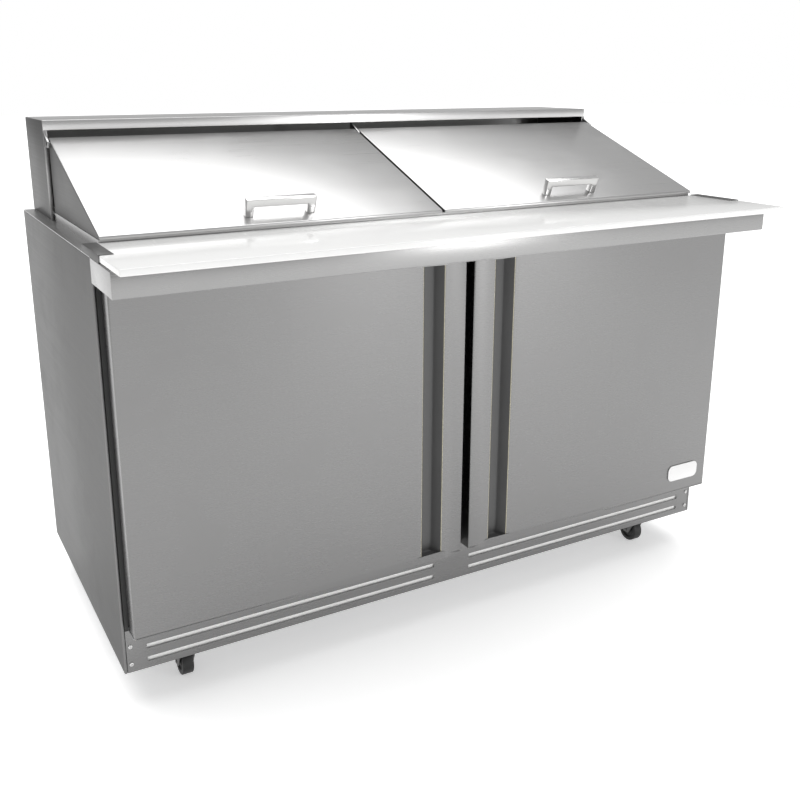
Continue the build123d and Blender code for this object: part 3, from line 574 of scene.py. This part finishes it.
hoodShape = {"sheet": 0.0012, "round": 0.002, "depth": 0.213, "drop": 0.022, "hem": 0.014, "hemRound": 0.0015,
             "side": 0.0004, "under": 0.0002}
wingShape = {"wide": 0.009, "sheet": 0.0014, "lap": 0.001, "round": 0.0005}
rodShape = {"radius": 0.004, "clear": 0.0024, "sides": 24}
earShape = {"inset": 0.0032, "half": 0.002, "front": 0.007, "below": 0.008, "back": 0.012, "round": 0.0005,
            "cut": (-0.004, 0.007), "cutFaces": (0, -0.45, 0.9)}
low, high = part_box("rear_hood")
wingFront = high[1] - hoodShape["depth"]
hood = startBlock("hood_shell", (low[0], wingFront, low[2]), high)
roundEdges(hood, hoodShape["round"], segments=3)
removeFaces(hood, looking("Z", -1), looking("Y", -1))
thicken(hood, hoodShape["sheet"])
fascia = startBlock("hoodFascia", (low[0] + hoodShape["side"], wingFront, high[2] - hoodShape["drop"]),
                    (high[0] - hoodShape["side"], wingFront + hoodShape["hem"], high[2] - hoodShape["under"]))
roundEdges(fascia, hoodShape["hemRound"], segments=3)
removeFaces(fascia, looking("Y", 1), looking("Z", 1))
thicken(fascia, hoodShape["sheet"])
wings = []
for start, end in ((low[0], low[0] + wingShape["wide"]), (high[0] - wingShape["wide"], high[0])):
    wing = startBlock("hoodWing", (start, wingFront, low[2] + hoodShape["under"]),
                      (end, wingFront + wingShape["sheet"], high[2] - hoodShape["drop"] + wingShape["lap"]))
    roundEdges(wing, wingShape["round"])
    wings.append(wing)
hinge = next(joint for joint in frame["joints"] if joint["name"] == "lid_left_hinge")
hingeY, hingeZ = hinge["pos_m"][1:]
rod = startDrum("hoodRod", (0, hingeY, hingeZ), rodShape["radius"], high[0] - low[0] - rodShape["clear"], "X",
                rodShape["sides"])
ears = []
for centre in (low[0] + earShape["inset"], 0.0, high[0] - earShape["inset"]):
    half = earShape["half"]
    ear = startBlock("hoodEar", (centre - half, hingeY - earShape["front"], hingeZ - earShape["below"]),
                     (centre + half, wingFront + earShape["back"],
                      high[2] - hoodShape["drop"] + wingShape["lap"]))
    trimTo(ear, (0, hingeY + earShape["cut"][0], hingeZ + earShape["cut"][1]), Vector(earShape["cutFaces"]))
    roundEdges(ear, earShape["round"])
    ears.append(ear)
joinPieces(hood, fascia, rod, *wings, *ears)
finishPiece(hood, "cabinet", "stainless", finishes["stainless"], "rear_hood")
# the hood ends in the darker side steel: painted shade
coverFaces(hood, finishes["sideSteelPaintedShade"], looking("X", 0))
# the hood's front fascia in the lighter lid steel: painted highlight
coverFaces(hood, finishes["lidSteelPaintedHighlight"],
           lambda centre, normal: looksFront(centre, normal) and centre.z > high[2] - hoodShape["drop"])
print("hood made")


# board, clips and shelf

boardShape = {"round": 0.0022, "lift": 0.0003}
low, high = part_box("cutting_board")
board = startBlock("prep_board", (low[0], low[1], low[2] + boardShape["lift"]), high)
roundEdges(board, boardShape["round"], segments=4)
finishPiece(board, "board", "board_white", finishes["board_white"], "cutting_board")

clipShape = {"wall": 0.0017, "flange": 0.027, "sheet": 0.0012, "lap": 0.6, "round": 0.0005}
low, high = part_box("board_clips")
clips = []
for side in (-1, 1):
    outer = side * high[0]
    inner = outer - side * clipShape["flange"]
    wall = outer - side * clipShape["wall"]
    tab = startBlock("clipTab", (min(outer, inner), low[1], high[2] - clipShape["sheet"]),
                     (max(outer, inner), high[1], high[2]))
    flank = startBlock("clipFlank", (min(outer, wall), low[1], low[2]),
                       (max(outer, wall), high[1], high[2] - clipShape["sheet"] * clipShape["lap"]))
    for part in (tab, flank):
        roundEdges(part, clipShape["round"])
    clips += [tab, flank]
joinPieces(*clips)
# the clips in the darker side steel: painted shade
finishPiece(clips[0], "cabinet", "stainless", finishes["sideSteelPaintedShade"], "board_clips")

shelfShape = {"sheet": 0.0012, "round": 0.002, "lip": 0.018, "lipInset": 0.001}
low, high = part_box("board_shelf")
shelf = startBlock("board_shelf_pan", low, high)
roundEdges(shelf, shelfShape["round"], segments=3)
removeFaces(shelf, looking("Z", -1))
thicken(shelf, shelfShape["sheet"])
lip = startBlock("shelfLip", (low[0] + shelfShape["lipInset"], low[1] + shelfShape["sheet"], low[2]),
                 (high[0] - shelfShape["lipInset"], low[1] + shelfShape["lip"], low[2] + shelfShape["sheet"]))
joinPieces(shelf, lip)
# the shelf in the darker shelf steel: painted shade
finishPiece(shelf, "cabinet", "stainless", finishes["shelfSteelPaintedShade"], "board_shelf")
print("board and shelf made")


# side sheets and the slotted base

sideShape = {"return": 0.006, "sheet": 0.0012, "round": 0.0018}
low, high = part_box("side_panels")
sides = []
for side in (-1, 1):
    outer = side * high[0]
    inner = outer - side * sideShape["return"]
    sheet = startBlock("side_sheets", (min(outer, inner), low[1], low[2]),
                       (max(outer, inner), high[1], high[2]))
    roundEdges(sheet, sideShape["round"], segments=3)
    removeFaces(sheet, looking("X", -side), looking("Y", 1), looking("Z", 0))
    thicken(sheet, sideShape["sheet"])
    sides.append(sheet)
joinPieces(*sides)
# the side sheets in the darker side steel: painted shade
finishPiece(sides[0], "cabinet", "stainless", finishes["sideSteelPaintedShade"], "side_panels")

grilleShape = {"sheet": 0.0012, "round": 0.0014, "near": 0.048, "far": 0.718, "tall": 0.010,
               "levels": (0.0205, 0.0495), "corner": 0.002, "through": 0.004}
low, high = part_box("base_fascia")
grille = startBlock("base_grille", low, high)
roundEdges(grille, grilleShape["round"], segments=3)
removeFaces(grille, looking("Y", 1), looking("X", 0))
thicken(grille, grilleShape["sheet"])
for side in (-1, 1):
    start, end = sorted((side * grilleShape["near"], side * grilleShape["far"]))
    for level in grilleShape["levels"]:
        height, half, through = low[2] + level, grilleShape["tall"] / 2, grilleShape["through"]
        slot = startBlock("slotCutter", (start, low[1] - through, height - half),
                          (end, low[1] + through, height + half))
        openEdges(slot, running("Y"))
        roundOpenEdges(grilleShape["corner"], 3)
        carve(grille, slot)
# the base front in the darker door steel: painted shade
finishPiece(grille, "cabinet", "stainless", finishes["doorSteelPaintedShade"], "base_fascia")
print("sides and base made")


# pan-head screws with a cross recess: four in the base, four under each caster plate

screwShape = {"head": 0.0045, "tall": 0.002, "crown": 0.0013, "sides": 32, "reach": 0.0026, "groove": 0.0005,
              "deep": 0.0012, "above": 0.01, "shank": 0.0024, "length": 0.0115, "shankSides": 16,
              "point": (0.0008, 0.0006), "inset": 0.0145, "levels": (0.019, 0.058), "bolts": (0.027, 0.020),
              "plate": 0.003}
screw = startDrum("screwPattern", (0, 0, screwShape["tall"] / 2), screwShape["head"], screwShape["tall"],
                  sides=screwShape["sides"])
openEdges(screw, lambda a, b: min(a.z, b.z) > screwShape["tall"] - meshSettings["touch"])
roundOpenEdges(screwShape["crown"], 4)
reach, groove = screwShape["reach"], screwShape["groove"]
for reachX, reachY in ((reach, groove), (groove, reach)):
    recess = startBlock("recess", (-reachX, -reachY, screwShape["tall"] - screwShape["deep"]),
                        (reachX, reachY, screwShape["above"]))
    carve(screw, recess)
shank = startDrum("screwShank", (0, 0, -screwShape["length"] / 2), screwShape["shank"], screwShape["length"],
                  sides=screwShape["shankSides"])
openFaces(shank, looking("Z", -1))
bpy.ops.mesh.inset(thickness=screwShape["point"][0], depth=screwShape["point"][1])
closeEdit()
joinPieces(screw, shank)
faceY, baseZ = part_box("base_fascia")[0][1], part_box("base_fascia")[0][2]
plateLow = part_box("base_pan")[0][2] - screwShape["plate"]
screwSpots = []
for side in (-1, 1):
    for level in screwShape["levels"]:
        spot = Vector((side * (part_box("side_panels")[1][0] - screwShape["inset"]), faceY, baseZ + level))
        screwSpots.append(Matrix.Translation(spot) @ Matrix.Rotation(math.radians(90), 4, "X"))
for joint in frame["joints"]:
    if joint["name"].startswith("swivel"):
        for aside in (-screwShape["bolts"][0], screwShape["bolts"][0]):
            for back in (-screwShape["bolts"][1], screwShape["bolts"][1]):
                spot = Vector((joint["pos_m"][0] + aside, joint["pos_m"][1] + back, plateLow))
                screwSpots.append(Matrix.Translation(spot) @ Matrix.Rotation(math.radians(180), 4, "X"))
screws = [placeCopy(screw, "cross_screws", spot) for spot in screwSpots]
bpy.data.objects.remove(screw, do_unlink=True)
joinPieces(*screws)
finishPiece(screws[0], "cabinet", "screw_steel", finishes["screw_steel"], "fixing_screws")
print("screws made")


# food pans: one drawn pan, copied to every cell

panShape = {"length": 0.309, "width": 0.160, "depth": 0.150, "draw": 0.0052, "corner": 0.025, "foot": 0.010,
            "rim": (0.325, 0.176), "rimRise": 0.0015, "crest": 0.0014, "turnDown": 0.001, "sheet": 0.0009,
            "pitch": (0.331, 0.182), "rows": 3, "columns": 4}
low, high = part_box("food_pans")
deckZ = high[2] - panShape["rimRise"]
floorZ = deckZ - panShape["depth"]
halfLong, halfWide = panShape["length"] / 2, panShape["width"] / 2
pan = startBlock("panPattern", (-halfLong, -halfWide, floorZ),
                 (halfLong, halfWide, deckZ + panShape["crest"]))
openFaces(pan, looking("Z", -1))
bpy.ops.transform.resize(value=(1 - panShape["draw"] / halfLong, 1 - panShape["draw"] / halfWide, 1),
                         center_override=(0, 0, deckZ))
closeEdit()
openEdges(pan, running("Z"))
roundOpenEdges(panShape["corner"], 6)
openEdges(pan, lambda a, b: max(a.z, b.z) < floorZ + meshSettings["near"])
roundOpenEdges(panShape["foot"], 4)
removeFaces(pan, looking("Z", 1))
openEdges(pan, lambda a, b: min(a.z, b.z) > deckZ + panShape["crest"] / 2)
bpy.ops.mesh.extrude_edges_move(TRANSFORM_OT_translate={"value": (0, 0, 0)})
rimScale = (panShape["rim"][0] / panShape["length"], panShape["rim"][1] / panShape["width"], 1)
bpy.ops.transform.resize(value=rimScale, center_override=(0, 0, deckZ))
bpy.ops.mesh.extrude_edges_move(TRANSFORM_OT_translate={"value": (0, 0, -panShape["turnDown"])})
bpy.ops.mesh.select_all(action="SELECT")
bpy.ops.mesh.remove_doubles(threshold=meshSettings["merge"])
bpy.ops.mesh.normals_make_consistent(inside=False)
closeEdit()
thicken(pan, panShape["sheet"])
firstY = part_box("corner_pans")[0][1] + panShape["rim"][1] / 2
for row in range(panShape["rows"]):
    line = []
    for column in range(panShape["columns"]):
        place = ((column - (panShape["columns"] - 1) / 2) * panShape["pitch"][0],
                 firstY + row * panShape["pitch"][1], 0)
        line.append(copyPiece(pan, f"pan_row_{row + 1}", place))
    joinPieces(*line)
    stands = ("food_pans", "corner_pans") if row == 0 else ("food_pans",)
    finishPiece(line[0], "cabinet", "pan_stainless", finishes["pan_stainless"], *stands)
bpy.data.objects.remove(pan, do_unlink=True)
print("pans made")


# doors

doorShape = {"sheet": 0.001, "round": 0.003, "hem": 0.004, "hemKeep": 0.001, "mouth": 0.002, "flush": 0.99}
gripShape = {"wall": 0.0012, "seat": 0.0015, "taper": 0.54, "bend": 0.004, "sheet": 0.0008}
linerShape = {"near": 0.037, "far": 0.051, "edge": 0.051, "slope": 0.010, "drop": 0.0045, "sheet": 0.001,
              "sheetRound": 0.0003, "lap": 0.0005, "margin": 0.002, "round": 0.0015}
gasketShape = {"wide": 0.014, "folds": (0.3, 0.5, 0.7), "pinch": 0.0028, "round": 0.0008, "through": 0.01}


def onFront(centre, normal):
    # the flat of the front, without its rounded edge
    return normal.y < -doorShape["flush"]


for word in ("left", "right"):
    low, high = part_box(f"door_{word}_skin")
    start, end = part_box(f"door_{word}_channel")
    skin = startBlock(f"door_{word}_front", low, high)
    roundEdges(skin, doorShape["round"], segments=4)
    removeFaces(skin, looking("Y", 1))
    splitFaces(skin, onFront, (((start[0], 0, 0), (1, 0, 0)), ((end[0], 0, 0), (1, 0, 0)),
                               ((0, 0, start[2]), (0, 0, 1)), ((0, 0, end[2]), (0, 0, 1))))
    openFaces(skin, lambda centre, normal: looksFront(centre, normal) and framed(centre, start, end))
    bpy.ops.mesh.extrude_region_move(TRANSFORM_OT_translate={"value": (0, doorShape["hem"], 0)})
    closeEdit()
    removeFaces(skin, lambda centre, normal: looksFront(centre, normal) and framed(centre, start, end)
                and centre.y > low[1] + doorShape["hemKeep"])
    openEdges(skin, lambda a, b: max(abs(a.y - low[1]), abs(b.y - low[1])) < meshSettings["touch"]
              and all(framed(spot, start, end, meshSettings["near"]) for spot in (a, b)))
    roundOpenEdges(doorShape["mouth"], 3)
    thicken(skin, doorShape["sheet"])
    # the door front in the darker door steel: painted shade
    finishPiece(skin, f"door_{word}", "stainless", finishes["doorSteelPaintedShade"], f"door_{word}_skin")

    # the pull channel, narrower at its floor; its dark finish is painted shade of the recess
    wall = gripShape["wall"]
    trough = startBlock(f"door_{word}_grip", (start[0] + wall, start[1] + gripShape["seat"], start[2] + wall),
                        (end[0] - wall, end[1], end[2] - wall))
    openFaces(trough, looking("Y", 1))
    bpy.ops.transform.resize(value=(gripShape["taper"], 1, 1),
                             center_override=((start[0] + end[0]) / 2, 0, 0))
    closeEdit()
    removeFaces(trough, looksFront)
    roundEdges(trough, gripShape["bend"], segments=4, angle=30)
    thicken(trough, gripShape["sheet"])
    finishPiece(trough, f"door_{word}", "handle_black", finishes["handle_black"], f"door_{word}_channel")

    # pressed inner sheet
    low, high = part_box(f"door_{word}_liner")
    side = 1 if low[0] > 0 else -1
    near, far = sorted((abs(low[0]), abs(high[0])))
    pressed = sorted((side * (near + linerShape["near"]), side * (far - linerShape["far"])))
    pressedLow = (pressed[0], low[1] + linerShape["lap"], low[2] + linerShape["edge"])
    pressedHigh = (pressed[1], high[1], high[2] - linerShape["edge"])
    sheet = startBlock(f"door_{word}_inside", low, (high[0], low[1] + linerShape["sheet"], high[2]))
    roundEdges(sheet, linerShape["sheetRound"], segments=1)
    raised = startBlock("raisedPanel", pressedLow, pressedHigh)
    openFaces(raised, looking("Y", 1))
    bpy.ops.mesh.inset(thickness=linerShape["slope"], depth=0)
    closeEdit()
    openEdges(raised, lambda a, b: min(a.y, b.y) > high[1] - meshSettings["touch"]
              and not framed((a + b) / 2, pressedLow, pressedHigh, -linerShape["margin"]))
    bpy.ops.transform.translate(value=(0, -linerShape["drop"], 0))
    closeEdit()
    roundEdges(raised, linerShape["round"], segments=3, angle=20)
    joinPieces(sheet, raised)
    finishPiece(sheet, f"door_{word}", "liner_aluminium", finishes["liner_aluminium"], f"door_{word}_liner")

    # folded gasket with a waist
    low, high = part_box(f"door_{word}_gasket")
    wide, deep, through = gasketShape["wide"], high[1] - low[1], gasketShape["through"]
    seal = startBlock(f"door_{word}_seal", low, high)
    hole = startBlock("sealHole", (low[0] + wide, low[1] - through, low[2] + wide),
                      (high[0] - wide, high[1] + through, high[2] - wide))
    carve(seal, hole)
    folds = [low[1] + deep * share for share in gasketShape["folds"]]
    splitFaces(seal, everyFace, [((0, fold, 0), (0, 1, 0)) for fold in folds])
    openEdges(seal, lambda a, b: max(abs(a.y - folds[1]), abs(b.y - folds[1])) < meshSettings["touch"])
    bpy.ops.transform.shrink_fatten(value=-gasketShape["pinch"])
    closeEdit()
    roundEdges(seal, gasketShape["round"], angle=30)
    finishPiece(seal, f"door_{word}", "gasket_black", finishes["gasket_black"], f"door_{word}_gasket")
print("doors made")


# badge plate

plateShape = {"corner": 0.014, "rim": 0.003, "dip": 0.0009, "round": 0.0004}
low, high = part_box("badge")
plate = startBlock("door_plate", low, high)
openEdges(plate, running("Y"))
roundOpenEdges(plateShape["corner"], 8)
openFaces(plate, looksFront)
bpy.ops.mesh.inset(thickness=plateShape["rim"], depth=0)
bpy.ops.transform.translate(value=(0, plateShape["dip"], 0))
closeEdit()
roundEdges(plate, plateShape["round"], angle=40)
finishPiece(plate, "door_right", "badge_grey", finishes["badge_grey"], "badge")
print("plate made")


# casters

# each step of the wheel's face: how far in from the last, and how far out or sunk
casterShape = {"steps": ((0.009, 0), (0.002, -0.004), (0.008, 0), (0.001, 0.003)), "round": 0.0015,
               "sides": 64, "forkRound": 0.0005}
for corner in ("front_left", "front_right", "rear_left", "rear_right"):
    low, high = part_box(f"caster_{corner}_wheel")
    centre = [(a + b) / 2 for a, b in zip(low, high)]
    wheel = startDrum(f"wheel_{corner}", centre, (high[2] - low[2]) / 2, high[0] - low[0], "X",
                      casterShape["sides"])
    openFaces(wheel, looking("X", 0))
    for inwards, outwards in casterShape["steps"]:
        bpy.ops.mesh.inset(thickness=inwards, depth=outwards, use_individual=True)
    closeEdit()
    roundEdges(wheel, casterShape["round"], segments=3, angle=40)
    finishPiece(wheel, f"wheel_{corner}", "wheel_black", finishes["wheel_black"], f"caster_{corner}_wheel")
    fork = softened(f"caster_{corner}_fork", f"fork_{corner}", casterShape["forkRound"])
    finishPiece(fork, f"fork_{corner}", "caster_steel", finishes["caster_steel"], f"caster_{corner}_fork")
print("casters made")


# parts that keep their CAD shape, with the edges broken: the new name and the width of the edge

softParts = {"caster_plates": ("swivel_plates", 0.0004), "door_hinge_plates": ("hinge_plates", 0.0006),
             "front_frame": ("breaker_frame", 0.0012), "centre_mullion": ("middle_post", 0.0012),
             "evaporator_housing": ("cooler_case", 0.0008), "compressor": ("compressor_can", 0.0015),
             "thermostat_dial": ("control_knob", 0.0006), "power_inlet": ("inlet_socket", 0.0006)}
slotOf = {entry["node"]: entry["material_slot"] for entry in frame["record"]["subparts"]}
bodyOf = {node: body for body, members in frame["record"]["behaviour"]["bodies"].items() for node in members}
for node, (title, width) in softParts.items():
    finishPiece(softened(node, title, width), bodyOf[node], slotOf[node], finishes[slotOf[node]], node)


# scoops behind the slots of the rear panel

scoopShape = {"long": 0.185, "pitch": 0.215, "first": 0.070, "banks": 3, "rows": 9, "rowPitch": 0.024,
              "low": 0.060, "lap": 0.001, "sunk": 0.0014, "lean": 0.010, "bend": 0.5, "curve": 1.5,
              "tall": 0.013, "sheet": 0.0009, "round": 0.0003}
low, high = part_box("rear_louvre")
scoop = startBlock("scoopPattern", (0, -scoopShape["sheet"], 0), (scoopShape["long"], 0, scoopShape["tall"]))
splitFaces(scoop, everyFace, (((0, 0, scoopShape["tall"] * scoopShape["bend"]), (0, 0, 1)),))
for vertex in scoop.data.vertices:
    share = max(0.0, 1 - vertex.co.z / scoopShape["tall"])
    vertex.co.y -= scoopShape["lean"] * share ** scoopShape["curve"]
roundEdges(scoop, scoopShape["round"], segments=1)
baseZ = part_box("base_pan")[0][2]
scoops = []
for row in range(scoopShape["rows"]):
    for bank in range(scoopShape["banks"]):
        start = scoopShape["first"] + bank * scoopShape["pitch"]
        height = baseZ + scoopShape["low"] + row * scoopShape["rowPitch"] - scoopShape["lap"]
        for x in (start, -start - scoopShape["long"]):
            scoops.append(copyPiece(scoop, "louvre_scoops", (x, high[1] - scoopShape["sunk"], height)))
bpy.data.objects.remove(scoop, do_unlink=True)
joinPieces(*scoops)
finishPiece(scoops[0], "cabinet", "galvanised", finishes["galvanised"])
print("smaller parts made")
